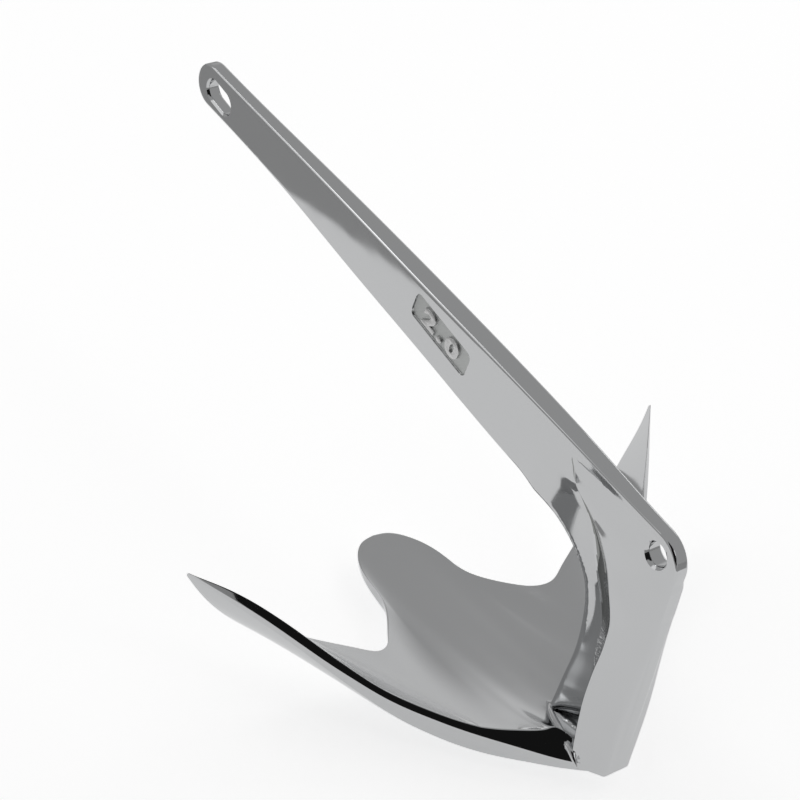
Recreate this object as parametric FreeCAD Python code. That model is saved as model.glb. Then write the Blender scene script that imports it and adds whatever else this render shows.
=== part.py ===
import FreeCAD, Part
import math
import os

V = FreeCAD.Vector

# One-piece claw anchor, cast in stainless steel and polished. Sizes in millimetres.
# Casting frame: X runs along the shank towards the shackle end, Y is sideways and Z points from the
# claw to the shank. Its origin is the trip-line hole, on the plane of symmetry. The finished anchor is
# then tipped about Y and lowered, so that it stands on its claw.

# Shank, seen from the side
shank_top_eye = 9.3         # upper edge above the hole's centre, slightly crowned
shank_top_middle = 10.6
shank_top_field = 11.3
shank_top_crown = 10.6
nose_x = 314.4              # front end of the shank
eye_underside = -10.4       # lower edge at the shackle end
# Lower edge from there on: share of the way from the nose to the sunk field, height
shank_underside = [(0.39, -11.4), (0.664, -14.7), (0.901, -17.2), (1.104, -20.2), (1.263, -23.0)]
# Round the throat and down the front of the web: x, height
throat = [(62.0, -24.2), (49.0, -25.4), (37.6, -30.4), (27.2, -41.6), (23.5, -54.0), (21.8, -72.0), (23.2, -92.0)]
web_foot_sunk = 4.0         # the web's foot runs this far into the claw, below the heel
web_foot_x = 25.5           # the web spreads where it meets the palm
stem_back_top_x = -11.2     # rear face of the stem just below the hole
stem_back_foot_x = -15.4
stem_back_bow = (-12.7, -33.0)
heel_z = -107.5             # lower end of the rear face
heel_lean = 0.03            # the rear face runs back there, and the web's front spreads, per unit of fall
web_foot_spread = 0.3
crown_fall = 1.2            # the upper edge falls by this much from the crown to that corner
crown_round = 13.0          # radius of the corner behind the hole

# Bar thickness, as half widths
eye_half = 3.2
eye_length = 24.0           # the bar keeps that thickness for this length
field_half = 4.7
crown_half = 4.1
rear_half = 3.2
field_x = 132.0             # middle of the sunk field, where the bar is thickest
crown_x = 45.0

edge_round = 1.3
throat_round = 3.0          # the lower edge swells to this bull-nose round the throat and down the web
swell_start_x = 114.0       # where it starts to swell, coming from the shackle end
swell_end_x = 56.0          # where it is full
least_edge = 1.0            # edges that are shorter along X are cuts across the bar

# Shackle slot and trip-line hole, both bevelled
slot_from_nose = 17.1
slot_z = -1.3
slot_width = 9.8
slot_length = 17.8
slot_tilt = 6.0
trip_hole = 9.6
bevel = 0.9

# Sunk field for the weight figures, on one side only
sunk_length = 36.8
sunk_height = 11.9
sunk_slope = 6.5
sunk_z = -1.2
sunk_round = 2.6
sunk_depth = 0.8

# Flared sides of the crown, from the top down: height, rear half width, corner x and half width
crown_sides = [
    (3.0, 1.2, 30.0, 3.3),
    (-10.0, 1.7, 28.0, 5.0),
    (-24.0, 2.6, 14.0, 7.0),
    (-40.0, 4.1, 5.6, 8.9),
    (-58.0, 5.6, 3.0, 10.8),
    (-76.0, 6.5, 1.6, 12.8),
    (-93.0, 6.4, -1.4, 14.4),
    (heel_z, 6.0, -4.6, 15.2),
]
crown_sides_inset = 6.0     # the top of the flare stays this far inside the rounded corner
groove_half = 3.1           # the groove dies out on the web at this half width
groove_reach = 20.0         # how far in front of the corner it does
groove_bow = 1.3            # how far the groove is hollowed
groove_wide = 12.0          # corner half width at which that hollow is as deep sideways as forwards

# Claw, from its plane of symmetry out to the tips
claw_half = 117.4           # half the claw's width
ridge_reach = [(0, -14.0), (8, -11.0), (16, -4.2), (34, 15.3), (58.7, 43.6), (88, 79.5), (117.4, 117.9)]
ridge_height = [(0, -104.2), (24, -104.9), (50, -104.3), (64, -101.4), (76, -95.4), (100, -80.4), (117.4, -72.3)]
band_width = [(0, 7.4), (24, 6.8), (38, 4.6), (64, 4.2), (92, 5.8), (106, 4.2), (117.4, 0.6)]
band_slope = [(0, 39), (72, 39), (100, 54), (117.4, 62)]
rim_width = [(0, 8.0), (10, 8.6), (16, 14.2), (20, 11.8), (28, 8.1), (33, 6.1), (38, 4.6)]
rim_fade = 10.0             # near the crown the rim rises above the palm and dies out over this length
wall_height = [(0, 3.4), (20, 5.7), (36, 9.4), (54, 8.8), (70, 5.3), (84, 3.0), (104, 2.0), (117.4, 0.4)]
wall_lean = 0.12            # the wall under the ridge draws in by this share of its height
palm_hollow = [(0, 4.4), (30, 3.6), (60, 1.4), (90, 0.8), (117.4, 0.0)]
belly_depth = [(0, 7.6), (30, 7.2), (60, 5.2), (90, 2.4), (117.4, 0.0)]
edge_thickness = [(0, 3.8), (40, 3.8), (90, 3.2), (110, 2.2), (117.4, 1.2)]
edge_inset = 0.7            # the rounded front edge starts this share of its thickness inside
edge_inset_most = 0.3       # but no further in than this share of the rib
arm_share = 0.5             # ribs beyond this share of the front edge belong to the arms

# Front edge of the claw, from the palm's tip round the notch to the arm's tip: x, half width, height
front_edge = [
    (145.6, 0.0, -126.8),
    (144.3, 6.4, -126.7),
    (138.2, 13.2, -126.2),
    (130.0, 17.2, -125.2),
    (120.0, 19.3, -124.0),
    (110.0, 20.8, -122.8),
    (98.0, 27.2, -120.6),
    (89.6, 33.4, -118.2),
    (83.4, 39.2, -115.4),
    (81.8, 45.0, -113.6),
    (85.0, 52.0, -112.0),
    (90.4, 62.0, -109.4),
    (98.2, 75.0, -106.2),
    (105.2, 88.0, -101.2),
    (111.4, 100.4, -93.6),
    (115.0, 109.0, -85.2),
    (117.2, 114.0, -78.6),
    (119.2, 117.4, -73.2),
]
ribs_per_side = 18
rib_points = 8
rib_crowding = 1.3          # the points crowd towards the rim

# How the anchor stands
rest_pitch = 6.6            # the shank rises towards its shackle end by this angle


def along(points, where):
    """Value at a distance from the plane of symmetry, on a smooth curve through the points."""
    last = len(points) - 1
    i = 0
    while i < last - 1 and where > points[i + 1][0]:
        i += 1

    def rise(k):
        return (points[k + 1][1] - points[k][1]) / (points[k + 1][0] - points[k][0])

    def slope(k):
        if k == 0:
            return 0.0
        if k == last:
            return rise(last - 1)
        left = points[k][0] - points[k - 1][0]
        right = points[k + 1][0] - points[k][0]
        return (rise(k - 1) * right + rise(k) * left) / (left + right)

    step = points[i + 1][0] - points[i][0]
    t = (where - points[i][0]) / step
    a = slope(i) * step
    b = slope(i + 1) * step
    d = points[i + 1][1] - points[i][1]
    return points[i][1] + t * (a + t * (3 * d - 2 * a - b + t * (a + b - 2 * d)))


def curve_through(points, start=None, end=None):
    """Smooth curve through the points, with set directions at its ends where they are given."""
    curve = Part.BSplineCurve()
    settings = {"Points": [V(*p) for p in points]}
    if start:
        settings["InitialTangent"] = V(*start)
        settings["FinalTangent"] = V(*end)
    curve.interpolate(**settings)
    return curve


def line(a, b):
    return Part.LineSegment(V(*a), V(*b)).toShape()


def wire_of(edges):
    return Part.Wire(Part.__sortEdges__(edges))


def claw_rib(share, front, side):
    """One rib of the claw: the skin from the palm's rear edge round the front edge to the wall's foot."""
    p = front.value(front.FirstParameter + share * (front.LastParameter - front.FirstParameter))
    h = claw_half * share * (1 - share) + p.y * share
    ridge = V(along(ridge_reach, h), h, along(ridge_height, h))
    width = along(band_width, h)
    lean = math.radians(along(band_slope, h))
    slope = V(math.cos(lean), 0, math.sin(lean))
    palm = ridge + slope * width
    rim = ridge + slope * (along(rim_width, h) if h < rim_width[-1][0] else width)
    drop = along(wall_height, h)
    foot = ridge + V(drop * wall_lean, 0, -drop)
    thick = along(edge_thickness, h if share > arm_share else p.y)
    inward = V(palm.x - p.x, palm.y - p.y, 0)
    inward = inward * (min(edge_inset * thick, edge_inset_most * inward.Length) / inward.Length)
    under_end = p + inward - V(0, 0, thick)
    hollow = along(palm_hollow, h)
    belly = along(belly_depth, h)

    def sunk(reach):
        q = (rim.x + reach - palm.x) / (p.x - palm.x)
        return palm + (p - palm) * q - V(0, 0, 4 * q * (1 - q) * hollow)

    rise = rim.z - sunk(0).z
    upper = []
    lower = []
    for k in range(rib_points):
        q = k / (rib_points - 1)
        lower.append(foot + (under_end - foot) * q - V(0, 0, 4 * q * (1 - q) * belly))
        reach = (p.x - rim.x) * q ** rib_crowding
        upper.append(sunk(reach) + V(0, 0, rise * math.exp(-reach / rim_fade)))
    rib = {"upper": upper, "lower": lower, "ridge": [ridge]}
    return {name: [V(r.x, side * r.y, r.z) for r in points] for name, points in rib.items()}


def claw_plate():
    front = curve_through(front_edge)
    ribs = []
    for i in range(-ribs_per_side, ribs_per_side + 1):
        ribs.append(claw_rib(abs(i) / ribs_per_side, front, -1 if i < 0 else 1))
    palm = Part.BSplineSurface()
    palm.interpolate([rib["upper"] for rib in ribs])
    belly = Part.BSplineSurface()
    belly.interpolate([rib["lower"] for rib in ribs])
    u1, u2, v1, v2 = palm.bounds()
    a1, a2, b1, b2 = belly.bounds()
    ridge = curve_through([rib["ridge"][0] for rib in ribs]).toShape()
    faces = [palm.toShape(), belly.toShape()]
    faces.append(Part.makeRuledSurface(palm.vIso(v2).toShape(), belly.vIso(b2).toShape()))
    faces.append(Part.makeRuledSurface(palm.vIso(v1).toShape(), ridge))
    faces.append(Part.makeRuledSurface(ridge, belly.vIso(b1).toShape()))
    for u, a, rib in ((u1, a1, ribs[0]), (u2, a2, ribs[-1])):
        tip = rib["ridge"][0]
        end = [
            palm.uIso(u).toShape(),
            belly.uIso(a).toShape(),
            Part.LineSegment(palm.value(u, v1), tip).toShape(),
            Part.LineSegment(tip, belly.value(a, b1)).toShape(),
            Part.LineSegment(palm.value(u, v2), belly.value(a, b2)).toShape(),
        ]
        faces.append(Part.Face(wire_of(end)))
    shell = Part.Shell(faces)
    shell.sewShape()
    solid = Part.Solid(shell)
    if solid.Volume < 0:
        solid.reverse()
    return solid


def side_profile():
    """Outline of shank, throat and stem, seen from the side."""
    nose_round = (shank_top_eye - eye_underside) / 2
    nose_top = (nose_x - nose_round, 0, shank_top_eye)
    nose_end = (nose_x, 0, shank_top_eye - nose_round)
    nose_low = (nose_x - nose_round, 0, eye_underside)
    foot = (web_foot_x, 0, heel_z - web_foot_sunk)
    heel = (stem_back_foot_x, 0, heel_z)
    crown_top = shank_top_crown - crown_fall
    crown_front = (stem_back_top_x + crown_round, 0, crown_top)
    crown_rear = (stem_back_top_x, 0, crown_top - crown_round)
    corner = math.sqrt(0.5) * crown_round
    crown_middle = (crown_front[0] - corner, 0, crown_rear[2] + corner)
    under = [(nose_x + (field_x - nose_x) * share, 0, z) for share, z in shank_underside]
    front = [(x, 0, z) for x, z in throat]
    low = curve_through([nose_low] + under + front + [foot], (-1, 0, 0), (web_foot_spread, 0, -1))
    high = curve_through([
        nose_top,
        ((nose_x + field_x) / 2, 0, shank_top_middle),
        (field_x, 0, shank_top_field),
        (crown_x, 0, shank_top_crown),
        crown_front,
    ], (-1, 0, 0), (-1, 0, 0))
    back = curve_through([
        crown_rear,
        (stem_back_bow[0], 0, stem_back_bow[1]),
        heel,
    ], (0, 0, -1), (-heel_lean, 0, -1))
    edges = [
        Part.Arc(V(*nose_top), V(*nose_end), V(*nose_low)).toShape(),
        low.toShape(),
        line(foot, heel),
        back.toShape(),
        Part.Arc(V(*crown_rear), V(*crown_middle), V(*crown_front)).toShape(),
        high.toShape(),
    ]
    return wire_of(edges)


def plan_profile(level):
    """Outline of the bar's thickness, seen from above."""
    front = nose_x + edge_round
    rear = stem_back_foot_x - edge_round
    stations = [
        (front, eye_half),
        (front - eye_length, eye_half),
        (field_x, field_half),
        (crown_x, crown_half),
        (0.0, rear_half),
        (rear, rear_half),
    ]
    near = curve_through([(x, y, level) for x, y in stations]).toShape()
    far = curve_through([(x, -y, level) for x, y in stations]).toShape()
    ends = [line((x, y, level), (x, -y, level)) for x, y in (stations[0], stations[-1])]
    return wire_of([near, far] + ends)


def shank_bar():
    deep = 2 * field_half
    slab = Part.Face(side_profile())
    slab.translate(V(0, -deep, 0))
    slab = slab.extrude(V(0, 2 * deep, 0))
    low = 2 * heel_z
    plan = Part.Face(plan_profile(low)).extrude(V(0, 0, 2 * abs(low)))
    bar = slab.common(plan)
    nose = rounded_length(bar, swell_start_x, nose_x + deep, None)
    swell = rounded_length(bar, swell_end_x, swell_start_x, (edge_round, throat_round))
    stem = rounded_length(bar, 2 * stem_back_foot_x, swell_end_x, (throat_round, throat_round))
    return nose.fuse([swell, stem]).removeSplitter()


def rounded_length(bar, x_from, x_to, lower_rounds):
    """A length of the bar with its long edges rounded. The lower edge's radius may change along it."""
    tall = 2 * abs(heel_z)
    wide = 4 * field_half
    block = Part.makeBox(x_to - x_from, wide, 2 * tall, V(x_from, -wide / 2, -tall))
    piece = bar.common(block)
    if not lower_rounds:
        return piece.makeFillet(edge_round, long_edges(piece))
    piece = piece.makeFillet(edge_round, [edge for edge in long_edges(piece) if not is_lower(edge)])
    for side in (1, -1):
        edges = [edge for edge in long_edges(piece) if is_lower(edge) and side * edge.CenterOfMass.y > 0]
        first, last = lower_rounds if side > 0 else lower_rounds[::-1]
        piece = piece.makeFillet(first, last, edges)
    return piece


def long_edges(piece):
    """Edges of the bar's two sides, apart from those where it was cut to length."""
    found = []
    for edge in piece.Edges:
        middle = edge.CenterOfMass
        at_side = abs(middle.y) > rear_half / 2
        if at_side and middle.z > heel_z - least_edge and edge.BoundBox.XLength > least_edge:
            found.append(edge)
    return found


def is_lower(edge):
    return edge.CenterOfMass.z < 0 and edge.CenterOfMass.x > 0


def crown_flare():
    sections = []
    for z, rear_y, corner_x, corner_y in crown_sides:
        rear_x = stem_back_top_x + (stem_back_foot_x - stem_back_top_x) * z / heel_z
        if not sections:
            rear_x += crown_sides_inset
        front_x = corner_x + groove_reach
        edges = []
        for side in (1, -1):
            rear = V(rear_x, side * rear_y, z)
            corner = V(corner_x, side * corner_y, z)
            front = V(front_x, side * groove_half, z)
            middle = (corner + front) * 0.5 - V(groove_bow, side * groove_bow * corner_y / groove_wide, 0)
            edges.append(Part.LineSegment(rear, corner).toShape())
            edges.append(Part.Arc(corner, middle, front).toShape())
        edges.append(line((rear_x, rear_y, z), (rear_x, -rear_y, z)))
        edges.append(line((front_x, groove_half, z), (front_x, -groove_half, z)))
        sections.append(wire_of(edges))
    return Part.makeLoft(sections, True, False)


def rounded_slab(length, height, corner, y_from, y_to):
    """Rounded rectangle in X and Z about the origin, as thick as the two Y levels set."""
    slab = Part.makeBox(length, y_to - y_from, height, V(-length / 2, y_from, -height / 2))
    upright = [edge for edge in slab.Edges if edge.BoundBox.YLength > (y_to - y_from) / 2]
    return slab.makeFillet(corner, upright)


def round_ended_slab(width, length, deep):
    """Slot with two half-round ends along X, through the plane of symmetry."""
    r = width / 2
    half = length / 2 - r
    edges = [
        line((-half, -deep, r), (half, -deep, r)),
        Part.Arc(V(half, -deep, r), V(half + r, -deep, 0), V(half, -deep, -r)).toShape(),
        line((half, -deep, -r), (-half, -deep, -r)),
        Part.Arc(V(-half, -deep, -r), V(-half - r, -deep, 0), V(-half, -deep, r)).toShape(),
    ]
    return Part.Face(Part.Wire(edges)).extrude(V(0, 2 * deep, 0))


def placed(shape, x, z, turn):
    shape.rotate(V(0, 0, 0), V(0, 1, 0), -turn)
    shape.translate(V(x, 0, z))
    return shape


def bevelled(solid, x, z, reach):
    """Breaks the edges of an opening where it meets the two sides of the bar."""
    rims = []
    for edge in solid.Edges:
        box = edge.BoundBox
        near = abs((box.XMin + box.XMax) / 2 - x) < reach and abs((box.ZMin + box.ZMax) / 2 - z) < reach
        if near and box.YLength < bevel and box.XLength < 2 * reach + bevel:
            rims.append(edge)
    return solid.makeChamfer(bevel, rims)


def openings_cut(bar):
    deep = 2 * field_half
    slot_x = nose_x - slot_from_nose
    slot = round_ended_slab(slot_width, slot_length, deep)
    bar = bar.cut(placed(slot, slot_x, slot_z, slot_tilt))
    bar = bevelled(bar, slot_x, slot_z, slot_length / 2)
    sunk = rounded_slab(sunk_length, sunk_height, sunk_round, field_half - sunk_depth, deep)
    return bar.cut(placed(sunk, field_x, sunk_z, sunk_slope))


def trip_line_drill():
    """Drill for the trip-line hole, with a countersink on each side of the bar."""
    deep = 2 * field_half
    drill = Part.makeCylinder(trip_hole / 2, 2 * deep, V(0, -deep, 0), V(0, 1, 0))
    wide = trip_hole / 2 + deep
    for side in (1, -1):
        seat = V(0, side * (rear_half - bevel), 0)
        sink = Part.makeCone(trip_hole / 2, wide, deep, seat, V(0, side, 0))
        drill = drill.fuse(sink)
    return drill


os.makedirs("parts", exist_ok=True)
claw = claw_plate()
bar = openings_cut(shank_bar())
anchor = bar.fuse([crown_flare(), claw])
anchor = anchor.cut(trip_line_drill())
anchor.rotate(V(0, 0, 0), V(0, 1, 0), -rest_pitch)
box = anchor.optimalBoundingBox(False, False)
anchor.translate(V(-(box.XMin + box.XMax) / 2, 0, -box.ZMin))
print("moved by", -(box.XMin + box.XMax) / 2, -box.ZMin)
print("anchor", anchor.isValid(), len(anchor.Solids), "volume cm3", round(anchor.Volume / 1000, 1), anchor.BoundBox)
anchor.exportStep("parts/claw_anchor.step")
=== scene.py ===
import math
from collections import Counter

import bpy
import numpy as np
from mathutils import Matrix, Vector, kdtree


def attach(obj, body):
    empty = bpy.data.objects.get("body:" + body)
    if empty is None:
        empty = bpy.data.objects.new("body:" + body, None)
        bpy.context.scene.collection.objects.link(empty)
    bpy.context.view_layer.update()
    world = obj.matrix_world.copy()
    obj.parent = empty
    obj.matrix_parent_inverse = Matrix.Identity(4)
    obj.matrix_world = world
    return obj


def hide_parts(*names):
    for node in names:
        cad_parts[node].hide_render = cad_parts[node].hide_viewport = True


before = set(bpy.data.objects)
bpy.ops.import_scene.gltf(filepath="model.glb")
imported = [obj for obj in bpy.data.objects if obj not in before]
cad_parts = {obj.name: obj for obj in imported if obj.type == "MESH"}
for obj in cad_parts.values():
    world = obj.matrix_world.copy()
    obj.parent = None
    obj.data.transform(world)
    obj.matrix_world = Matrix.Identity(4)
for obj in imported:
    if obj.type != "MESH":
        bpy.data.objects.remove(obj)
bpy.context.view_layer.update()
print("frame loaded")

mm = 0.001

# The anchor is drawn in mm, with the trip-line hole at 0,0,0 and the shank along X, then tipped and shifted to
# where it stands
restPlace = {
    "pitchDegrees": 6.6,
    "forward": -150.823,
    "up": 119.402,
}


def tilted(x, z, degrees):
    # turned in the side view
    turn = math.radians(degrees)
    return x * math.cos(turn) - z * math.sin(turn), x * math.sin(turn) + z * math.cos(turn)


def standing(points):
    # drawing in mm to standing place in metres
    p = np.atleast_2d(np.array(points, float))
    x, z = tilted(p[:, 0], p[:, 2], restPlace["pitchDegrees"])
    return np.column_stack([x + restPlace["forward"], p[:, 1], z + restPlace["up"]]) * mm


def drawn(places):
    # standing place in metres back to the drawing in mm
    p = np.atleast_2d(np.array(places, float)) / mm
    x, z = tilted(p[:, 0] - restPlace["forward"], p[:, 2] - restPlace["up"], -restPlace["pitchDegrees"])
    return np.column_stack([x, p[:, 1], z])


def clearSelection():
    if bpy.context.object and bpy.context.object.mode != "OBJECT":
        bpy.ops.object.mode_set(mode="OBJECT")
    bpy.ops.object.select_all(action="DESELECT")


def work(piece):
    # this piece alone is selected and active
    clearSelection()
    bpy.context.view_layer.objects.active = piece
    piece.select_set(True)


def editAll():
    bpy.ops.object.mode_set(mode="EDIT")
    bpy.ops.mesh.select_all(action="SELECT")


def applied(piece, kind, **settings):
    # a modifier with its settings, applied at once
    work(piece)
    modifier = piece.modifiers.new(kind.lower(), kind)
    for name, value in settings.items():
        setattr(modifier, name, value)
    bpy.ops.object.modifier_apply(modifier=modifier.name)


def points(piece):
    co = np.empty(len(piece.data.vertices) * 3)
    piece.data.vertices.foreach_get("co", co)
    return co.reshape(-1, 3)


def setPoints(piece, co):
    piece.data.vertices.foreach_set("co", np.asarray(co, float).ravel())
    piece.data.update()


def mark(piece, name, values, domain="POINT"):
    # one number for each point or face of the mesh, which the material reads
    piece.data.attributes.new(name, "FLOAT", domain)
    piece.data.attributes[name].data.foreach_set("value", np.asarray(values, np.float32))


def finder(places):
    # finds the nearest of many places
    tree = kdtree.KDTree(len(places))
    for i, p in enumerate(places):
        tree.insert(p, i)
    tree.balance()
    return tree


def shareOf(value, start, end):
    # 0 up to the start, 1 from the end on
    return np.clip((value - start) / (end - start), 0, 1)


def hermite(p, q, a, b, t):
    # from p, leaving along a, to q, arriving along b
    return p + t * (a + t * (3 * (q - p) - 2 * a - b + t * (a + b - 2 * (q - p))))


def smoothLine(through, startWay=None, endWay=None, step=1.0):
    # even curve through a few points, leaving and arriving in the given directions
    p = np.array(through, float)
    h = np.linalg.norm(np.diff(p, axis=0), axis=1)
    n = len(p)
    a = np.zeros((n, n))
    b = np.zeros_like(p)
    for i in range(1, n - 1):
        a[i, i - 1] = 1 / h[i - 1]
        a[i, i] = 2 / h[i - 1] + 2 / h[i]
        a[i, i + 1] = 1 / h[i]
        b[i] = 3 * (p[i] - p[i - 1]) / h[i - 1] ** 2 + 3 * (p[i + 1] - p[i]) / h[i] ** 2
    for row, other, way, gap in ((0, 1, startWay, 0), (n - 1, n - 2, endWay, -1)):
        a[row, row] = 1.0
        if way is not None:
            b[row] = np.array(way, float) / np.linalg.norm(way)
        else:
            a[row, other] = 0.5
            b[row] = 1.5 * (p[1] - p[0] if row == 0 else p[-1] - p[-2]) / h[gap]
    m = np.linalg.solve(a, b)
    out = []
    for i in range(n - 1):
        count = max(2, int(math.ceil(h[i] / step)))
        t = (np.arange(count) / count)[:, None]
        out.append(hermite(p[i], p[i + 1], m[i] * h[i], m[i + 1] * h[i], t))
    out.append(p[-1:])
    return np.vstack(out)


def along(table, where):
    # value at a distance from the middle, on a smooth curve through the pairs
    last = len(table) - 1
    i = 0
    while i < last - 1 and where > table[i + 1][0]:
        i += 1

    def rise(k):
        return (table[k + 1][1] - table[k][1]) / (table[k + 1][0] - table[k][0])

    def slope(k):
        if k == 0:
            return 0.0
        if k == last:
            return rise(last - 1)
        left = table[k][0] - table[k - 1][0]
        right = table[k + 1][0] - table[k][0]
        return (rise(k - 1) * right + rise(k) * left) / (left + right)

    step = table[i + 1][0] - table[i][0]
    t = (where - table[i][0]) / step
    return hermite(table[i][1], table[i + 1][1], slope(i) * step, slope(i + 1) * step, t)


def bent(a, corner, b, t):
    # from a to b, leaving and arriving along the two sides of the corner
    return (1 - t) ** 2 * a + 2 * t * (1 - t) * corner + t ** 2 * b


def rounded(corner, before, after, size, count):
    # a few points that break the corner
    a = corner + (before - corner) * min(1.0, size / max(1e-9, np.linalg.norm(before - corner)))
    b = corner + (after - corner) * min(1.0, size / max(1e-9, np.linalg.norm(after - corner)))
    return bent(a, corner, b, np.linspace(0, 1, count)[:, None])


def skinned(name, rings):
    # a flat grid wrapped round into a closed skin, one row of the grid for each ring
    rows, across = len(rings), len(rings[0])
    clearSelection()
    bpy.ops.mesh.primitive_grid_add(x_subdivisions=across, y_subdivisions=rows - 1, size=1)
    piece = bpy.context.object
    piece.name = name
    co = np.concatenate([np.vstack([ring, ring[:1]]) for ring in rings])
    setPoints(piece, standing(co))
    editAll()
    bpy.ops.mesh.remove_doubles(threshold=0.00001 * mm)
    bpy.ops.mesh.fill_holes(sides=0)
    bpy.ops.mesh.select_all(action="SELECT")
    bpy.ops.mesh.normals_make_consistent(inside=False)
    bpy.ops.object.mode_set(mode="OBJECT")
    return piece


def combined(piece, other, how):
    applied(piece, "BOOLEAN", operation=how, solver="EXACT", object=other)
    bpy.data.objects.remove(other)


# Shank, throat and web: one bar, seen from the side and from above
shank = {
    "topAtEye": 9.3, "topHalfway": 10.6, "topAtField": 11.3, "topAtCrown": 10.6,
    "noseX": 314.4, "undersideAtEye": -10.4,
    # lower edge: share of the way from the nose to the sunk field, height
    "underside": [(0.39, -11.4), (0.664, -14.7), (0.901, -17.2), (1.104, -20.2), (1.263, -23.0)],
    "throat": [(62.0, -24.2), (49.0, -25.4), (37.6, -30.4), (27.2, -41.6), (23.5, -54.0), (21.8, -72.0),
               (23.2, -92.0)],
    "webFoot": (25.5, -111.5), "stemTopX": -11.2, "stemFootX": -15.4, "stemBow": (-12.7, -33.0),
    "heelZ": -107.5, "crownRound": 13.0, "crownFall": 1.2,
    # half thickness at the eye, the sunk field, the crown and the rear, and where these are along the shank
    "eyeHalf": 3.2, "eyeLength": 22.7, "fieldHalf": 4.7, "crownHalf": 4.1, "rearHalf": 3.2,
    "fieldX": 132.0, "crownX": 45.0,
    # the edges' radius, which grows along the underside towards the throat
    "edgeRound": 1.3, "throatRound": 3.9, "edgeSegments": 8, "roundGrows": (114.0, 56.0),
    # the sides swell towards the throat: slope, width of the strip, the heights between which the strip narrows,
    # how softly it starts, and where it fades in along the shank
    "swellRise": 0.15, "swellWide": (21.0, 8.0), "swellNarrows": (-9.0, -38.0), "swellEase": 2.0,
    "swellFades": (88.0, 60.0),
    # the two sides are inset, then cut into a net: first, last and spacing. Beyond this y the whole taper holds
    "sideInset": 0.7, "netAlong": [(-14, 75, 1.6), (76, 312, 4.0)], "netUp": (-108, 10, 1.7), "taperFull": 2.8,
}


def arc(a, middle, b, count):
    # circle through three points, without the last one
    a, middle, b = (np.array(p, float) for p in (a, middle, b))
    u, v = middle - a, b - a
    n = np.cross(u, v)
    centre = a + (np.cross(n, u) * v.dot(v) + np.cross(v, n) * u.dot(u)) / (2 * n.dot(n))
    start, end = a - centre, b - centre
    side = np.cross(n / np.linalg.norm(n), start)
    angle = math.atan2(end.dot(side), end.dot(start)) % (2 * math.pi)
    t = np.linspace(0, angle, count)[:-1, None]
    return centre + start * np.cos(t) + side * np.sin(t)


def shankOutline():
    k = shank
    noseRound = (k["topAtEye"] - k["undersideAtEye"]) / 2
    noseTop = (k["noseX"] - noseRound, 0, k["topAtEye"])
    noseEnd = (k["noseX"], 0, k["topAtEye"] - noseRound)
    noseLow = (k["noseX"] - noseRound, 0, k["undersideAtEye"])
    foot = (k["webFoot"][0], 0, k["webFoot"][1])
    heel = (k["stemFootX"], 0, k["heelZ"])
    crownTop = k["topAtCrown"] - k["crownFall"]
    crownFront = (k["stemTopX"] + k["crownRound"], 0, crownTop)
    crownRear = (k["stemTopX"], 0, crownTop - k["crownRound"])
    share = math.sqrt(0.5) * k["crownRound"]
    crownMiddle = (crownFront[0] - share, 0, crownRear[2] + share)
    under = [(k["noseX"] + (k["fieldX"] - k["noseX"]) * q, 0, z) for q, z in k["underside"]]
    throat = [(x, 0, z) for x, z in k["throat"]]
    low = smoothLine([noseLow] + under + throat + [foot], (-1, 0, 0), (0.3, 0, -1), 1.2)[:-1]
    bow = (k["stemBow"][0], 0, k["stemBow"][1])
    back = smoothLine([heel, bow, crownRear], (0.03, 0, 1), (0, 0, 1), 1.5)[:-1]
    high = smoothLine([
        crownFront, (k["crownX"], 0, k["topAtCrown"]), (k["fieldX"], 0, k["topAtField"]),
        ((k["noseX"] + k["fieldX"]) / 2, 0, k["topHalfway"]), noseTop,
    ], (1, 0, 0), (1, 0, 0), 2.0)[:-1]
    return np.vstack([
        arc(noseTop, noseEnd, noseLow, 28), low, [foot], back,
        arc(crownRear, crownMiddle, crownFront, 18), high,
    ])


def barHalf(x):
    k = shank
    # the first and last rows lie just beyond the bar's ends
    return along([(k["stemFootX"] - 2, k["rearHalf"]), (0, k["rearHalf"]), (k["crownX"], k["crownHalf"]),
                  (k["fieldX"], k["fieldHalf"]), (k["noseX"] - k["eyeLength"], k["eyeHalf"]),
                  (k["noseX"] + 2, k["eyeHalf"])], x)


def edgeRoundAt(x, z):
    # the lower edge swells into a bull-nose round the throat and down the web
    k = shank
    if z > 0 or x < 8:      # the upper and the rear edge
        return k["edgeRound"]
    return k["edgeRound"] + (k["throatRound"] - k["edgeRound"]) * shareOf(x, *k["roundGrows"])


def throatSwell(flat, low):
    # how much thicker the bar is at each place for being close to the throat
    k = shank
    away = np.array([np.min(np.hypot(low[:, 0] - x, low[:, 2] - z)) for x, _, z in flat])
    wide, narrow = k["swellWide"]
    inside = np.maximum(0, wide + (narrow - wide) * shareOf(flat[:, 2], *k["swellNarrows"]) - away)
    rise = k["swellRise"] * inside * inside / (inside + k["swellEase"])
    fade = shareOf(flat[:, 0], *k["swellFades"])
    return rise * fade * fade * (3 - 2 * fade)


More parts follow.
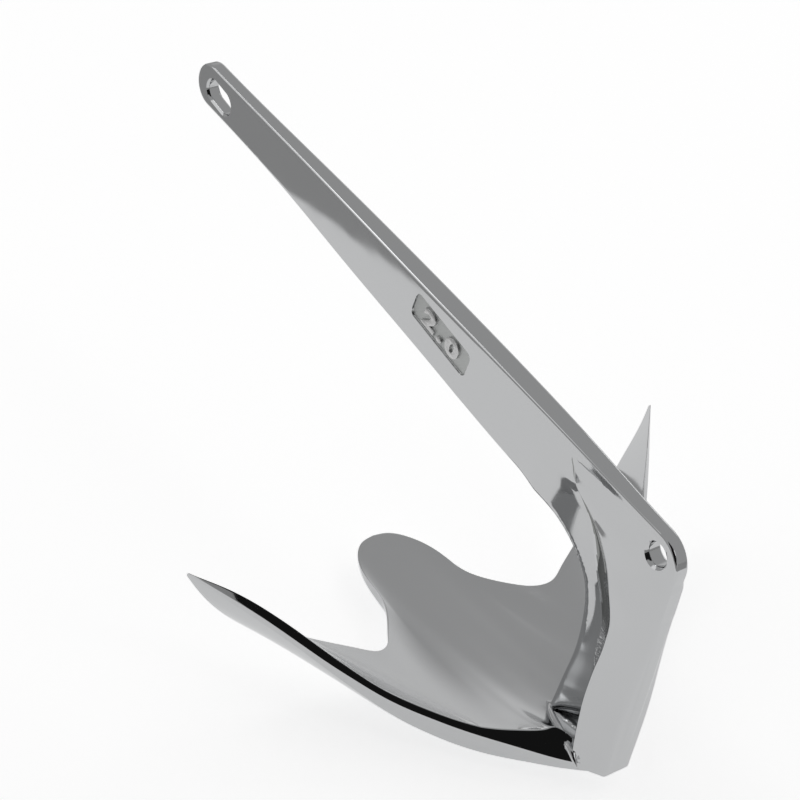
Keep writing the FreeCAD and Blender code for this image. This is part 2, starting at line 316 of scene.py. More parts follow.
def makeShank():
    k = shank
    outline = shankOutline()
    flat = k["fieldHalf"]
    clearSelection()
    bpy.ops.mesh.primitive_circle_add(vertices=len(outline), radius=1, fill_type="NGON")
    piece = bpy.context.object
    piece.name = "castAnchor"
    setPoints(piece, outline - [0, flat, 0])
    editAll()
    bpy.ops.mesh.extrude_region_move(TRANSFORM_OT_translate={"value": (0, 2 * flat, 0)})
    bpy.ops.mesh.select_all(action="SELECT")
    bpy.ops.mesh.normals_make_consistent(inside=False)
    bpy.ops.object.mode_set(mode="OBJECT")

    # rounded edges, by weights set from the place along the outline
    co = points(piece)
    weights = piece.data.attributes.new("bevel_weight_edge", "FLOAT", "EDGE")
    for edge in piece.data.edges:
        a, b = co[edge.vertices[0]], co[edge.vertices[1]]
        if abs(a[1] - b[1]) < 0.1 and min(a[2], b[2]) > k["webFoot"][1] + 0.1:
            middle = (a + b) / 2
            weights.data[edge.index].value = edgeRoundAt(middle[0], middle[2]) / k["throatRound"]
    applied(piece, "BEVEL", limit_method="WEIGHT", width=k["throatRound"], segments=k["edgeSegments"],
            use_clamp_overlap=False)

    # the two sides are cut into a net, so that they can follow the bar's taper and be rounded where others join
    bpy.ops.object.mode_set(mode="EDIT")
    bpy.ops.mesh.select_all(action="DESELECT")
    bpy.ops.mesh.select_face_by_sides(number=60, type="GREATER")
    bpy.ops.mesh.inset(thickness=k["sideInset"])
    cuts = [((x, 0, 0), (1, 0, 0)) for row in k["netAlong"] for x in np.arange(*row)]
    cuts += [((0, 0, z), (0, 0, 1)) for z in np.arange(*k["netUp"])]
    for place, way in cuts:
        bpy.ops.mesh.select_all(action="SELECT")
        bpy.ops.mesh.bisect(plane_co=place, plane_no=way)
    bpy.ops.object.mode_set(mode="OBJECT")
    co = points(piece)
    low = smoothLine([(x, 0, z) for x, z in k["throat"] + [k["webFoot"]]], step=0.1)
    for p, thicker in zip(co, throatSwell(co, low)):
        p[1] -= (flat - barHalf(p[0]) - thicker) * max(-1.0, min(1.0, p[1] / k["taperFull"]))
    setPoints(piece, standing(co))
    return piece


# Flared sides of the crown, with the groove in front of each
crown = {
    # height, rear half width, corner x and half width
    "sides": [
        (8.2, 2.4, 52.0, 3.3), (5.0, 3.36, 50.5, 4.3), (1.8, 3.38, 47.5, 4.75), (-4.4, 3.5, 42.5, 5.3),
        (-8.0, 3.6, 33.0, 5.7), (-11.0, 3.65, 26.5, 6.3), (-15.0, 3.7, 21.0, 7.0), (-28.5, 3.8, 10.4, 8.4),
        (-38.5, 4.1, 4.4, 9.9), (-47.0, 4.6, 2.7, 11.2), (-63.0, 5.9, 2.3, 12.6), (-76.0, 6.5, 1.6, 13.3),
        (-93.0, 6.4, -1.4, 14.4), (-107.5, 6.0, -4.6, 15.2),
    ],
    # height and x where the groove runs into the web's side
    "grooveFront": [(8.2, 54.0), (1.8, 50.5), (-4.4, 46.0), (-12.7, 37.6), (-23.2, 32.6), (-34.2, 24.8),
                    (-45.8, 18.5), (-64.5, 14.5), (-79.0, 10.5), (-107.5, 9.0)],
    "topInset": 9.0, "topInsetEnds": 16.0, "grooveBow": 0.2,
    "rearRound": 1.1, "cornerRound": 0.5,
    # past its front line the groove goes on forward and into the web
    "grooveEnds": [(1.6, -0.7, 0.0), (3.0, -1.8, 0.0)],
    "levels": 130, "sidePoints": 22, "groovePoints": 20,
}


def makeCrown():
    # gives the piece, its points, and which of them lie in the grooves
    k = crown
    top, bottom = k["sides"][0][0], k["sides"][-1][0]
    tables = [[(top - row[0], row[i]) for row in k["sides"]] for i in (1, 2, 3)]
    tables.append([(top - z, x) for z, x in k["grooveFront"]])
    rings, inGroove = [], []
    for z in np.linspace(top, bottom, k["levels"]):
        rearY, cornerX, cornerY, frontX = (along(table, top - z) for table in tables)
        rearX = shank["stemTopX"] + (shank["stemFootX"] - shank["stemTopX"]) * z / shank["heelZ"]
        rearX += k["topInset"] * max(0.0, 1 - (top - z) / k["topInsetEnds"])
        rear = np.array([rearX, rearY, z])
        corner = np.array([cornerX, cornerY, z])
        front = np.array([frontX, barHalf(frontX), z])
        bow = max(0.1, cornerY - front[1]) * k["grooveBow"]
        middle = (corner + front) / 2 - [bow, bow * 1.5, 0]
        groove = np.vstack([arc(corner, middle, front, k["groovePoints"]), front + np.array(k["grooveEnds"])])
        a = rear + (corner - rear) * k["rearRound"] / np.linalg.norm(corner - rear)
        b = corner + (rear - corner) * k["cornerRound"] / np.linalg.norm(corner - rear)
        side = np.vstack([
            rounded(rear, np.array([rearX, 0, z]), corner, k["rearRound"], 5),
            a + (b - a) * np.linspace(0, 1, k["sidePoints"] + 2)[1:-1, None],
            rounded(corner, rear, groove[1], k["cornerRound"], 4),
        ])
        half = np.vstack([side, groove[2:]])
        first = 2 * len(half) * len(rings)
        inGroove += range(first + len(side), first + 2 * len(half) - len(side))
        rings.append(np.vstack([half, half[::-1] * [1, -1, 1]]))
    return skinned("crownFlare", rings), standing(np.vstack(rings)), inGroove


# Claw: palm, arms, belly and the band round its rear edge
claw = {
    "half": 117.4,
    "ridgeReach": [(0, -14.0), (8, -11.0), (16, -4.2), (34, 15.3), (58.7, 43.6), (88, 79.5), (117.4, 117.9)],
    "ridgeHeight": [(0, -104.2), (24, -104.9), (50, -104.3), (64, -101.4), (76, -95.4), (100, -80.4),
                    (117.4, -72.3)],
    "bandWidth": [(0, 7.4), (24, 6.8), (38, 4.6), (64, 4.2), (92, 5.8), (106, 4.2), (117.4, 0.6)],
    "bandSlope": [(0, 39), (72, 39), (100, 54), (117.4, 62)],
    "rimWidth": [(0, 8.0), (10, 8.6), (16, 14.2), (20, 11.8), (28, 8.1), (33, 6.1), (38, 4.6)], "rimFade": 9.0,
    "wallHeight": [(0, 3.4), (20, 5.7), (36, 9.4), (54, 8.8), (70, 5.3), (84, 3.0), (104, 2.0), (117.4, 0.4)],
    "wallLean": 0.12,
    "palmHollow": [(0, 4.4), (30, 3.6), (60, 1.4), (90, 0.8), (117.4, 0.0)],
    "bellyDepth": [(0, 7.6), (30, 7.2), (60, 5.2), (90, 2.4), (117.4, 0.0)],
    "edgeThickness": [(0, 3.8), (40, 3.8), (90, 3.2), (110, 2.2), (117.4, 1.2)],
    # corners: radius on the rear edge, and share of the thickness on the front one. None takes more of a face than
    # mostOfFace
    "edgeInset": 0.7, "edgeBreak": 0.55, "frontBreak": 0.45, "mostOfFace": 0.3,
    "ribs": 116,
    # the palm is brushed, its rim and the arms' tips are mirror polished: where the polish is whole and where gone
    "rimPolish": (0.8, 5.8), "tipPolish": (96.0, 66.0),
    # front edge, from the palm's tip round the notch to the arm's tip
    "frontEdge": [
        (145.6, 0.0, -126.8), (144.3, 6.4, -126.7), (138.2, 13.2, -126.2), (130.0, 17.2, -125.2),
        (120.0, 19.3, -124.0), (110.0, 20.8, -122.8), (98.0, 27.2, -120.6), (89.6, 33.4, -118.2),
        (83.4, 39.2, -115.4), (81.8, 45.0, -113.6), (85.0, 52.0, -112.0), (90.4, 62.0, -109.4),
        (98.2, 75.0, -106.2), (105.2, 88.0, -101.2), (111.4, 100.4, -93.6), (115.0, 109.0, -85.2),
        (117.2, 114.0, -78.6), (119.2, 117.4, -73.2),
    ],
}


def sag(q, depth):
    # hangs this deep in the middle of a run
    return np.array([0, 0, 4.0]) * q * (1 - q) * depth


def clawRing(share, edge, side):
    # one closed ring of points round the claw's section, from the wall's foot over the band and the palm
    k = claw
    place = share * (len(edge) - 1)
    i = min(int(place), len(edge) - 2)
    p = edge[i] + (edge[i + 1] - edge[i]) * (place - i)
    h = k["half"] * share * (1 - share) + p[1] * share
    ridge = np.array([along(k["ridgeReach"], h), h, along(k["ridgeHeight"], h)])
    lean = math.radians(along(k["bandSlope"], h))
    slope = np.array([math.cos(lean), 0, math.sin(lean)])
    width = along(k["bandWidth"], h)
    palm = ridge + slope * width
    rim = ridge + slope * (along(k["rimWidth"], h) if h < k["rimWidth"][-1][0] else width)
    drop = along(k["wallHeight"], h)
    foot = ridge + [drop * k["wallLean"], 0, -drop]
    thick = along(k["edgeThickness"], h if share > 0.5 else p[1])
    inward = np.array([palm[0] - p[0], palm[1] - p[1], 0])
    reach = np.linalg.norm(inward)
    under = p + inward * min(k["edgeInset"] * thick, k["mostOfFace"] * reach) / reach - [0, 0, thick]
    hollow, belly = along(k["palmHollow"], h), along(k["bellyDepth"], h)

    def sunk(q):
        # the palm's hollow, carried on to the raised rim near the crown
        q = (rim[0] + (p[0] - rim[0]) * q - palm[0]) / (p[0] - palm[0])
        return palm + (p - palm) * q - sag(q, hollow)

    rise = rim[2] - sunk(0.0)[2]
    # each run: start, sag, number of points, how they crowd, how much its first corner is broken
    runs = [
        (foot, 0.0, 7, 1.0, k["edgeBreak"]),
        (ridge, 0.0, 9, 1.0, k["edgeBreak"]),
        (rim, None, 54, 1.35, k["edgeBreak"]),
        (p, 0.0, 4, 1.0, k["frontBreak"] * thick),
        (under, belly, 34, 1.0, k["frontBreak"] * thick),
    ]
    lines, satin = [], []
    for (start, depth, count, power, size), (end, _, _, _, nextSize) in zip(runs, runs[1:] + runs[:1]):
        length = np.linalg.norm(end - start)
        low, high = min(size / length, k["mostOfFace"]), 1 - min(nextSize / length, k["mostOfFace"])
        q = low + (high - low) * np.linspace(0, 1, count)[:, None] ** power
        if depth is None:      # the palm
            lift = rise * np.exp(-q * (p[0] - rim[0]) / k["rimFade"])
            lines.append(sunk(q) + lift * np.array([0, 0, 1.0]))
            satin.append(shareOf(q[:, 0] * length, *k["rimPolish"]))
        else:
            lines.append(start + (end - start) * q - sag(q, depth))
            satin.append(np.zeros(count))
    ring, brushed = [], []
    t = np.linspace(0, 1, 6)[1:-1, None]
    for n, line in enumerate(lines):
        ring += list(bent(lines[n - 1][-1], runs[n][0], line[0], t)) + list(line)
        brushed += [satin[n - 1][-1]] * len(t) + list(satin[n])
    return np.array(ring) * [1, side, 1], np.array(brushed) * shareOf(h, *k["tipPolish"])


def makeClaw():
    # gives the piece, its points, and how brushed each of them is
    edge = smoothLine(claw["frontEdge"], step=0.25)
    rings, brushed = zip(*[clawRing(abs(i) / claw["ribs"], edge, -1 if i < 0 else 1)
                           for i in range(-claw["ribs"], claw["ribs"] + 1)])
    return skinned("clawSkin", rings), standing(np.vstack(rings)), np.concatenate(brushed)


# Cast lip on each side, from the web's foot over the palm to the crown's corner
lip = {
    # x, half width, height, radius
    "path": [(25.0, 1.8, -108.4, 0.9), (22.0, 4.6, -106.6, 1.2), (10.6, 11.2, -101.2, 1.5),
             (0.0, 14.2, -100.6, 1.5), (-5.4, 15.0, -102.4, 1.2), (-8.0, 15.2, -104.4, 0.3)],
    "around": 20, "leastRadius": 0.2,
}


def makeLip(side):
    line = smoothLine(lip["path"], step=0.8)
    turn = np.linspace(0, 2 * math.pi, lip["around"], endpoint=False)[:, None]
    rings = []
    for i, (x, y, z, radius) in enumerate(line):
        way = line[min(i + 1, len(line) - 1)][:3] - line[max(i - 1, 0)][:3]
        across = np.cross(way, [0, 0, 1.0])
        across /= np.linalg.norm(across)
        raised = np.cross(across, way / np.linalg.norm(way))
        radius = max(radius, lip["leastRadius"])
        ring = np.array([x, y, z]) + radius * (across * np.cos(turn) + raised * np.sin(turn))
        rings.append(ring * [1, side, 1])
    return skinned("lip", rings)


# Shackle slot, trip-line hole and the sunk field for the weight figures
openings = {
    "slotFromNose": 17.1, "slotZ": -1.3, "slotWidth": 9.8, "slotLength": 17.8, "slotTilt": 6.0,
    "tripHole": 9.6, "flareAtHole": 0.4, "bevel": 0.9,
    "sunkLength": 36.8, "sunkHeight": 11.9, "sunkCorner": 2.6, "sunkTilt": 6.5, "sunkZ": -1.2, "sunkDepth": 0.8,
    # the sunk field's wall: how far out from its floor, and how much wider it is there
    "sunkWall": [(0.0, -0.45), (0.08, -0.2), (0.25, -0.06), (0.5, 0.0), (0.66, 0.05), (0.8, 0.2), (1.0, 0.42),
                 (5.0, 0.5)],
}


def stadium(length, height, corner, count=16):
    # rounded outline in x and z, anticlockwise from the right-hand side
    out = []
    for cx, cz, start in ((1, 1, 0), (-1, 1, 90), (-1, -1, 180), (1, -1, 270)):
        turn = np.radians(np.linspace(start, start + 90, count))
        x = cx * (length / 2 - corner) + corner * np.cos(turn)
        z = cz * (height / 2 - corner) + corner * np.sin(turn)
        out.append(np.column_stack([x, 0 * x, z]))
    return np.vstack(out)


def makeCutter(name, length, height, corner, steps, place, tilt):
    # a plug through the bar: each step gives how far out along Y it is and how much wider it is there
    rings = []
    for y, wider in steps:
        ring = stadium(length + 2 * wider, height + 2 * wider, corner + wider)
        x, z = tilted(ring[:, 0], ring[:, 2], tilt)
        rings.append(np.column_stack([x + place[0], 0 * x + y, z + place[1]]))
    return skinned(name, rings)


def countersunk(half):
    # steps of a hole whose two rims are broken at 45 degrees, with the break's own edges eased
    b = openings["bevel"]
    out = [(half - b - 0.25, 0.0), (half - b - 0.1, 0.03), (half - b + 0.1, 0.14), (half - 0.3, b - 0.3),
           (half, b), (half + 0.5, b + 0.5), (half + 6, b + 0.6)]
    return [(-y, w) for y, w in out[::-1]] + out


anchor = makeShank()
print("shank done", len(anchor.data.vertices))
flare, flarePoints, inGroove = makeCrown()
print("crown flare done", len(flare.data.vertices))
clawSkin, clawPoints, clawFinish = makeClaw()
print("claw done", len(clawSkin.data.vertices))
originals = [anchor, flare, clawSkin, makeLip(1), makeLip(-1)]
originalPoints = np.vstack([points(piece) for piece in originals])
for piece in originals[1:]:
    combined(anchor, piece, "UNION")
print("joined", len(anchor.data.vertices), len(anchor.data.polygons))

o = openings
fieldFloor = shank["fieldHalf"] - o["sunkDepth"]
slot = makeCutter("slotPlug", o["slotLength"], o["slotWidth"], o["slotWidth"] / 2, countersunk(shank["eyeHalf"]),
                  (shank["noseX"] - o["slotFromNose"], o["slotZ"]), o["slotTilt"])
hole = makeCutter("holePlug", o["tripHole"], o["tripHole"], o["tripHole"] / 2,
                  countersunk(shank["rearHalf"] + o["flareAtHole"]), (0, 0), 0)
field = makeCutter("fieldPlug", o["sunkLength"], o["sunkHeight"], o["sunkCorner"],
                   [(fieldFloor + out, wider) for out, wider in o["sunkWall"]],
                   (shank["fieldX"], o["sunkZ"]), o["sunkTilt"])
for plug in (slot, hole, field):
    combined(anchor, plug, "DIFFERENCE")
print("openings cut", len(anchor.data.vertices))

# Where the forms meet, the casting is blended by a small radius
blend = {
    "weld": 0.04, "touching": 0.01, "reach": 3.2, "fall": 0.7, "rounds": 14,
    # a seam lies behind this x and outside this distance from the trip-line hole
    "seamsBehind": 66.0, "clearOfHole": 6.9,
    # in front of this x the groove's foot stays crisp, except above and below: where softness starts and is whole
    "crispBefore": -3.0, "softAbove": (3.0, 7.0), "softBelow": (-98.0, -102.0), "crispUnder": 0.2,
}


def blendSeams():
    k = blend
    work(anchor)
    editAll()
    bpy.ops.mesh.remove_doubles(threshold=k["weld"] * mm)
    bpy.ops.mesh.select_all(action="DESELECT")
    bpy.ops.object.mode_set(mode="OBJECT")
    # slivers that closed up are two faces back to back on the same points
    corners = [tuple(sorted(face.vertices)) for face in anchor.data.polygons]
    shared = Counter(corners)
    anchor.data.polygons.foreach_set("select", [shared[key] > 1 for key in corners])
    bpy.ops.object.mode_set(mode="EDIT")
    bpy.ops.mesh.delete(type="FACE")
    bpy.ops.mesh.select_all(action="SELECT")
    bpy.ops.mesh.delete_loose(use_faces=True)
    bpy.ops.object.mode_set(mode="OBJECT")

    # a seam's points are those that none of the joined pieces had
    known = finder(originalPoints)
    co = points(anchor)
    flat = drawn(co)
    fresh = [p for p, q in zip(co, flat)
             if q[0] < k["seamsBehind"] and math.hypot(q[0], q[2]) > k["clearOfHole"]
             and known.find(p)[2] > k["touching"] * mm]
    seam = finder(fresh)
    soft = np.maximum(shareOf(flat[:, 2], *k["softAbove"]), shareOf(flat[:, 2], *k["softBelow"]))
    soft[flat[:, 0] <= k["crispBefore"]] = 1.0
    group = anchor.vertex_groups.new(name="seams")
    crisp = np.zeros(len(co))
    for i, p in enumerate(co):
        far = seam.find(p)[2] / mm
        if soft[i] < k["crispUnder"] and far < k["touching"]:
            crisp[i] = 1.0
        if far < k["reach"] and soft[i] > 0:
            group.add([i], soft[i] * (1 - far / k["reach"]) ** k["fall"], "REPLACE")
    applied(anchor, "SMOOTH", factor=0.5, iterations=k["rounds"], vertex_group="seams")
    anchor.vertex_groups.clear()
    mark(anchor, "crisp", crisp)
    return len(fresh)


print("seams blended", blendSeams())

# Where each finish lies: satin is 0 where mirror polished and 1 where brushed, castSkin is 1 where the casting was
# left as it came, and the groove's mask marks the groove, whose colour gets painted shade there, with grooveGrain
# towards its foot, where the groove is pitted and its painted shade fades out
finishPlaces = {
    "palmReach": 1.2, "grooveReach": 0.9, "grainGrows": (-44.0, -52.0),
    "sideways": 0.984,      # a face that looks this much along Y is the bar's own side, not the groove
    "fieldReach": (20.0, 0.2, 9.0),      # half length, depth and half height round the middle of the field's floor
}


def paintFinish():
    k = finishPlaces
    palm, groove, hollow = finder(clawPoints), finder(flarePoints), set(inGroove)
    grooveShadeMask, grooveGrain = np.zeros((2, len(anchor.data.polygons)))
    # the groove's faces are marked for painted shade: the material gives them a darker colour
    for i, face in enumerate(anchor.data.polygons):
        _, nearest, far = groove.find(face.center)
        if nearest in hollow and far < k["grooveReach"] * mm and abs(face.normal[1]) < k["sideways"]:
            grooveShadeMask[i] = 1.0
            grooveGrain[i] = shareOf(drawn(face.center)[0, 2], *k["grainGrows"])
    mark(anchor, "grooveShadeMask", grooveShadeMask, "FACE")
    mark(anchor, "grooveGrain", grooveGrain, "FACE")

    co = points(anchor)
    satin = np.zeros(len(co))
    for i, p in enumerate(co):
        _, nearest, far = palm.find(p)
        satin[i] = clawFinish[nearest] * max(0.0, 1 - far / (k["palmReach"] * mm))
    mark(anchor, "satin", satin)
    fieldMiddle = [shank["fieldX"], fieldFloor, openings["sunkZ"]]
    mark(anchor, "castSkin", np.all(np.abs(drawn(co) - fieldMiddle) < k["fieldReach"], axis=1))


def shadeAnchor(angle):
    # smooth but for sharp corners and the groove's crisp foot, with the wide faces ruling the normals
    work(anchor)
    bpy.ops.object.shade_smooth_by_angle(angle=math.radians(angle))
    crisp = [value.value > 0.5 for value in anchor.data.attributes["crisp"].data]
    for edge in anchor.data.edges:
        if crisp[edge.vertices[0]] and crisp[edge.vertices[1]]:
            edge.use_edge_sharp = True
    applied(anchor, "WEIGHTED_NORMAL", mode="FACE_AREA", keep_sharp=True)


paintFinish()
shadeAnchor(32)
print("shading done")

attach(anchor, "root")
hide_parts("claw_anchor")

# Raised weight figures in the sunk field
figures = {
    "words": "2.0", "height": 8.6, "raised": 0.66, "sunkIn": 0.12,
    "ease": 0.16, "bold": 0.36, "widen": 1.5, "spacing": 1.25,
}


def makeFigures():
    clearSelection()
    bpy.ops.object.text_add(location=(0, 0, 0))
    piece = bpy.context.object
    piece.name = "weightFigures"
    text = piece.data
    text.body = figures["words"]
    text.align_x, text.align_y = "CENTER", "CENTER"
    text.size = 10.0
    text.extrude = figures["raised"] / 2
    text.bevel_depth = figures["ease"]
    text.bevel_resolution = 2
    text.offset = figures["bold"]
    text.space_character = figures["spacing"]
    work(piece)
    bpy.ops.object.convert(target="MESH")
    piece = bpy.context.object
    editAll()
    bpy.ops.mesh.remove_doubles(threshold=0.001)
    bpy.ops.mesh.normals_make_consistent(inside=False)
    bpy.ops.object.mode_set(mode="OBJECT")
    co = points(piece)
    low, high = co.min(axis=0), co.max(axis=0)
    co = co - (low + high) / 2
    co[:, :2] *= figures["height"] / (high[1] - low[1])
    co[:, 0] *= figures["widen"]
    # the figures read from the shackle end towards the crown, their tops towards the shank's upper edge
    x, z = tilted(-co[:, 0], co[:, 1], openings["sunkTilt"])
    y = co[:, 2] + fieldFloor + (high[2] - low[2]) / 2 - figures["sunkIn"]
    setPoints(piece, standing(np.column_stack([x + shank["fieldX"], y, z + openings["sunkZ"]])))
    bpy.ops.object.shade_smooth_by_angle(angle=math.radians(40))
    return piece


weightFigures = makeFigures()
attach(weightFigures, "root")
print("figures done")


def srgb(code):
    # hex colour to the linear one that Blender takes
    parts = [int(code[i:i + 2], 16) / 255 for i in (1, 3, 5)]
    return [p / 12.92 if p <= 0.04045 else ((p + 0.055) / 1.055) ** 2.4 for p in parts] + [1.0]


def node(tree, kind, settings=None, links=None, **values):
    made = tree.nodes.new(kind)
    for name, value in values.items():
        setattr(made, name, value)
    for socket, value in (settings or {}).items():
        made.inputs[socket].default_value = value
    for socket, source in (links or {}).items():
        tree.links.new(source, made.inputs[socket])
    return made


def newMaterial(name):
    made = bpy.data.materials.new(name)
    made.use_nodes = True
    return made, made.node_tree, made.node_tree.nodes["Principled BSDF"]


# Cast stainless steel, ground and buffed to a mirror: a bright, slightly cool grey that shows the studio sharply,
# with a faint waviness from the buffing wheel. The palm is only brushed, so it blurs what it shows, and the sunk
# field keeps the dull skin of the casting. The groove is pitted towards its foot, and above that its colour is
# darkened with painted shade
steelLook = {
    # the last colour is painted shade: a darker grey for the groove
    "metal": "#c6c7c8", "castMetal": "#c2c4c3", "grooveShadeColour": "#7c7e7c",
    "mirrorRoughness": 0.045, "satinRoughness": 0.2, "castRoughness": 0.46,
    "hazeLength": 18.18, "hazeShare": (0.7, 1.5),      # mm, and how the mirror's roughness varies
    # length and height in mm, and detail. The wheel's marks, the grain and the pits are finer on real castings, and
    # are drawn as coarse as they need to be to show
    "wave": (20.0, 0.05, 1.0), "buff": (4.5, 0.0009, 2.0), "grain": (1.1, 0.09, 3.0), "pits": (1.4, 0.9, 2.0),
}


def buffedSteel():
    k = steelLook
    made, tree, shader = newMaterial("buffedStainlessCasting")
    place = node(tree, "ShaderNodeTexCoord").outputs["Object"]
    satin, cast, groove, pitted = [node(tree, "ShaderNodeAttribute", attribute_name=name).outputs["Fac"]
                                   for name in ("satin", "castSkin", "grooveShadeMask", "grooveGrain")]
    haze = node(tree, "ShaderNodeTexNoise", {"Scale": 1000 / k["hazeLength"], "Detail": 3.0},
                {"Vector": place}).outputs["Fac"]
    rough = node(tree, "ShaderNodeMapRange", {"From Min": 0.35, "From Max": 0.7,
                                              "To Min": k["mirrorRoughness"] * k["hazeShare"][0],
                                              "To Max": k["mirrorRoughness"] * k["hazeShare"][1]},
                 {"Value": haze}).outputs[0]
    for roughness, where in ((k["satinRoughness"], satin), (k["castRoughness"], cast)):
        rough = node(tree, "ShaderNodeMix", {"B": roughness}, {"Factor": where, "A": rough},
                     data_type="FLOAT").outputs[0]
    plain = node(tree, "ShaderNodeMix", {"A": srgb(k["metal"]), "B": srgb(k["castMetal"])}, {"Factor": cast},
                 data_type="RGBA").outputs["Result"]
    # painted shade: the groove's colour is darkened, and less so where it is pitted towards its foot
    grooveShade = node(tree, "ShaderNodeMath", links={0: groove, 1: pitted}, operation="SUBTRACT").outputs[0]
    colour = node(tree, "ShaderNodeMix", {"B": srgb(k["grooveShadeColour"])}, {"Factor": grooveShade, "A": plain},
                  data_type="RGBA").outputs["Result"]
    normal = None
    for name, where in (("wave", None), ("buff", None), ("grain", cast), ("pits", pitted)):
        length, height, detail = k[name]
        noise = node(tree, "ShaderNodeTexNoise", {"Scale": 1000 / length, "Detail": detail}, {"Vector": place})
        links = {"Height": noise.outputs["Fac"], "Normal": normal, "Strength": where}
        normal = node(tree, "ShaderNodeBump", {"Strength": 1.0, "Distance": height * mm},
                      {socket: source for socket, source in links.items() if source}).outputs["Normal"]
    shader.inputs["Metallic"].default_value = 1.0
    tree.links.new(colour, shader.inputs["Base Color"])
    tree.links.new(rough, shader.inputs["Roughness"])
    tree.links.new(normal, shader.inputs["Normal"])
    return made


# The figures' tops were wiped by the same wheel: brighter than the field, still a little dull. Their grain is drawn
# as coarse as the casting's, to show
wipedLook = {"metal": "#cdcdcd", "roughness": (0.2, 0.36), "grainLength": 1.111, "dents": 0.012, "dentShare": 0.6}


def wipedSteel():
    k = wipedLook
    made, tree, shader = newMaterial("wipedStainlessFigures")
    place = node(tree, "ShaderNodeTexCoord").outputs["Object"]
    grain = node(tree, "ShaderNodeTexNoise", {"Scale": 1000 / k["grainLength"], "Detail": 3.0},
                 {"Vector": place}).outputs["Fac"]
    rough = node(tree, "ShaderNodeMapRange", {"From Min": 0.3, "From Max": 0.7,
                                              "To Min": k["roughness"][0], "To Max": k["roughness"][1]},
                 {"Value": grain}).outputs[0]
    dents = node(tree, "ShaderNodeBump", {"Strength": k["dentShare"], "Distance": k["dents"] * mm},
                 {"Height": grain})
    shader.inputs["Metallic"].default_value = 1.0
    shader.inputs["Base Color"].default_value = srgb(k["metal"])
    tree.links.new(rough, shader.inputs["Roughness"])
    tree.links.new(dents.outputs["Normal"], shader.inputs["Normal"])
    return made


for piece, material in ((anchor, buffedSteel()), (weightFigures, wipedSteel())):
    piece.data.materials.clear()
    piece.data.materials.append(material)
print("materials done")

# Studio: a pale floor and an even grey room, seen by the metal with its bright and dark sides
studio = {
    "floor": "#e9e9e9", "floorSize": 14.0, "floorShown": 0.64,
    # what the metal sees: a white sheet round the anchor, in metres. In front of sheetRear it ends in a straight
    # edge of this slope beside the shank. Each pair says where the sheet ends and where it is gone
    "sheetInMetal": 0.50, "sheetRadius": (0.50, 0.56),
    "sheetSlope": 0.15, "sheetEdge": (0.1745, 0.1785), "sheetRear": (0.11, 0.12),
    "room": 0.43,
    # azimuth, elevation, size of the even middle and of the whole, in degrees; brightness
    "sides": [
        (-58, 8, 12, 32, 0.74), (48, 34, 10, 17, 1.0),
        (139, 14, 27, 32, 0.01), (166, 40, 22, 28, 0.01), (139, 44, 21, 27, 0.01),
    ],
    # place in metres, width, height, brightness
    "softBoxes": {
        "keyBox": ((0.9, 0.5, 1.5), 0.5, 0.35, 1.7),
        "rearBox": ((0.3, -1.5, 1.1), 0.7, 0.25, 1.6),
        "frontBox": ((-1.5, -0.5, 1.2), 0.3, 0.6, 1.5),
    },
    "softBoxesAim": (0, 0, 0.05),
}


def bearing(azimuth, elevation):
    # way towards a place in the sky
    a, e = math.radians(azimuth), math.radians(elevation)
    return Vector((math.cos(e) * math.cos(a), math.cos(e) * math.sin(a), math.sin(e)))


def paleFloor():
    k = studio
    clearSelection()
    bpy.ops.mesh.primitive_plane_add(size=k["floorSize"], location=(0, 0, 0))
    floor = bpy.context.object
    floor.name = "floor"
    made, tree, shader = newMaterial("paleFloor")
    shader.inputs["Base Color"].default_value = srgb(k["floor"])
    shader.inputs["Roughness"].default_value = 0.9
    shader.inputs["Specular IOR Level"].default_value = 0.0
    path = node(tree, "ShaderNodeLightPath")
    place = node(tree, "ShaderNodeTexCoord").outputs["Object"]
    away = node(tree, "ShaderNodeVectorMath", links={0: place}, operation="LENGTH").outputs["Value"]
    xy = node(tree, "ShaderNodeSeparateXYZ", links={"Vector": place})
    past = node(tree, "ShaderNodeMath", {1: k["sheetSlope"]}, {0: xy.outputs["X"], 2: xy.outputs["Y"]},
                operation="MULTIPLY_ADD").outputs[0]
    near, edge, rear = [
        node(tree, "ShaderNodeMapRange", {"From Min": start, "From Max": end, "To Min": 1.0, "To Max": 0.0},
             {"Value": value}).outputs[0]
        for value, (start, end) in ((away, k["sheetRadius"]), (past, k["sheetEdge"]),
                                    (xy.outputs["X"], k["sheetRear"]))
    ]
    kept = node(tree, "ShaderNodeMath", links={0: edge, 1: rear}, operation="MAXIMUM").outputs[0]
    sheet = node(tree, "ShaderNodeMath", links={0: near, 1: kept}, operation="MULTIPLY").outputs[0]
    inMetal = node(tree, "ShaderNodeMath", {1: k["sheetInMetal"]}, {0: sheet}, operation="MULTIPLY").outputs[0]
    glossy = node(tree, "ShaderNodeMath", links={0: inMetal, 1: path.outputs["Is Glossy Ray"]},
                  operation="MULTIPLY").outputs[0]
    level = node(tree, "ShaderNodeMath", {1: k["floorShown"]}, {0: path.outputs["Is Camera Ray"], 2: glossy},
                 operation="MULTIPLY_ADD").outputs[0]
    shader.inputs["Emission Color"].default_value = (1, 1, 1, 1)
    tree.links.new(level, shader.inputs["Emission Strength"])
    floor.data.materials.append(made)


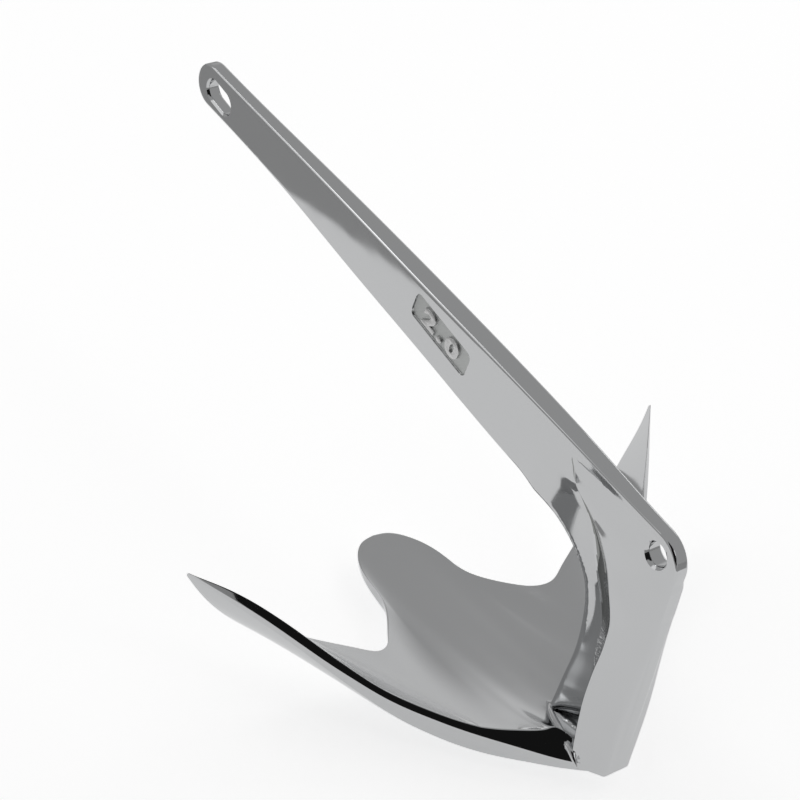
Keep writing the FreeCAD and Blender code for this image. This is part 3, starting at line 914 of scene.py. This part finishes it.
def greyRoom():
    world = bpy.data.worlds.new("studio")
    bpy.context.scene.world = world
    world.use_nodes = True
    tree = world.node_tree
    way = node(tree, "ShaderNodeTexCoord").outputs["Generated"]
    level = None
    for azimuth, elevation, inner, outer, brightness in studio["sides"]:
        facing = node(tree, "ShaderNodeVectorMath", {1: bearing(azimuth, elevation)}, {0: way},
                      operation="DOT_PRODUCT").outputs["Value"]
        share = node(tree, "ShaderNodeMapRange", {"From Min": math.cos(math.radians(outer)),
                                                  "From Max": math.cos(math.radians(inner))},
                     {"Value": facing}, interpolation_type="SMOOTHSTEP").outputs[0]
        mixed = node(tree, "ShaderNodeMix", {"A": studio["room"], "B": brightness}, {"Factor": share},
                     data_type="FLOAT")
        if level:
            tree.links.new(level, mixed.inputs["A"])
        level = mixed.outputs[0]
    tree.links.new(level, tree.nodes["Background"].inputs["Strength"])
    tree.nodes["Background"].inputs["Color"].default_value = (1, 1, 1, 1)


def softBox(name, place, width, height, brightness):
    # brightness is what a mirror would show, so the power follows from the area
    lamp = bpy.data.objects.new(name, bpy.data.lights.new(name, "AREA"))
    lamp.data.shape = "RECTANGLE"
    lamp.data.size, lamp.data.size_y = width, height
    lamp.data.energy = brightness * math.pi * width * height
    lamp.location = place
    lamp.rotation_euler = (Vector(studio["softBoxesAim"]) - Vector(place)).to_track_quat("-Z", "Y").to_euler()
    bpy.context.scene.collection.objects.link(lamp)


# Camera, placed on the drawing in mm and turned with the anchor
view = {
    "place": (-375.476, 521.258, 584.620), "lens": 108, "sensor": 36,
    # its ways to the right, up and back
    "ways": [(-0.568448, -0.801113, 0.187312), (0.622703, -0.270153, 0.734342), (-0.537688, 0.534075, 0.652423)],
}


def placeCamera():
    origin = standing((0, 0, 0))[0]
    ways = [Vector((standing(way)[0] - origin) / mm) for way in view["ways"]]
    camera = bpy.data.objects.new("camera", bpy.data.cameras.new("camera"))
    camera.data.sensor_width = view["sensor"]
    camera.data.lens = view["lens"]
    place = Matrix.Translation(Vector(standing(view["place"])[0]))
    camera.matrix_world = place @ Matrix(ways).transposed().to_4x4()
    bpy.context.scene.collection.objects.link(camera)
    bpy.context.scene.camera = camera


paleFloor()
greyRoom()
for name, box in studio["softBoxes"].items():
    softBox(name, *box)
placeCamera()
bpy.context.scene.view_settings.view_transform = "Standard"

print("studio done")
